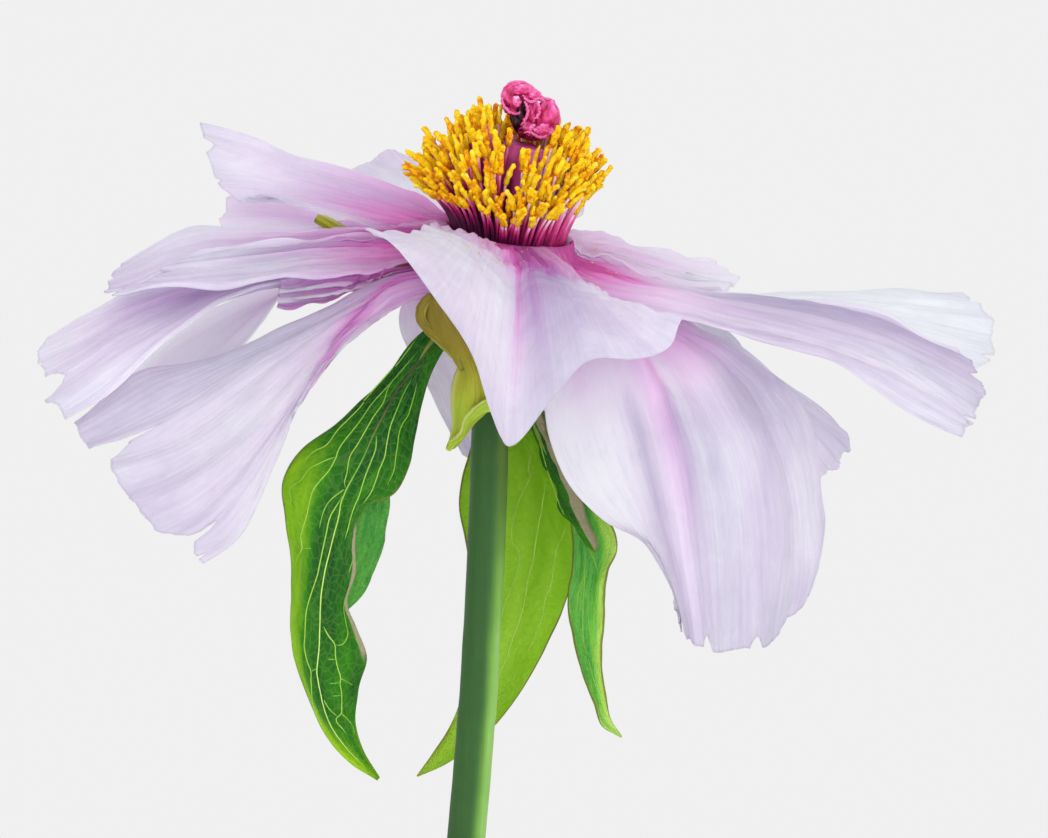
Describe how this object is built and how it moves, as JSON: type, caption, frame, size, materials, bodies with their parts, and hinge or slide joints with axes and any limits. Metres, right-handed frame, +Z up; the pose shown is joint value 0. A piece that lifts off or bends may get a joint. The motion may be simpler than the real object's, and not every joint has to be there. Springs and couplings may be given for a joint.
{
  "type": "peony in a bud vase",
  "caption": "Open tree peony bloom with drooping pale petals on a cut stem with leaves, standing in a plain glazed bud vase of water.",
  "frame": {"origin": "centre of the vase's foot, on the surface that it stands on", "axes": "+Z up, +X to the viewer's right, +Y away from the viewer, who sees the bloom as in the picture"},
  "size_m": [0.1915, 0.1308, 0.2881],
  "materials": {
    "petal": "matte",
    "sepal": "matte",
    "leaf": "satin",
    "stem": "satin",
    "stamens": "matte",
    "carpels": "satin",
    "stigmas": "satin",
    "vase": "gloss",
    "water": "gloss"
  },
  "bodies": {
    "root": {"petal_front": "petal", "petal_low_right": "petal", "petal_right_under": "petal", "petal_right": "petal", "petal_far_right": "petal", "petal_back_right": "petal", "petal_back": "petal", "petal_upper_left": "petal", "petal_left_upper": "petal", "petal_left_ribbon": "petal", "petal_left_tip": "petal", "petal_left_under": "petal", "petal_left_behind": "petal", "petal_low_left": "petal", "petal_back_hanging": "petal", "petal_back_right_low": "petal", "petal_back_low": "petal", "sepal_front_left": "sepal", "sepal_left": "sepal", "sepal_right": "sepal", "sepal_back": "sepal", "leaf_left": "leaf", "leaf_back": "leaf", "leaf_folded": "leaf", "leaf_right": "leaf", "stem": "stem", "stamens": "stamens", "carpels": "carpels", "stigmas": "stigmas", "vase": "vase", "water": "water"}
  },
  "joints": []
}
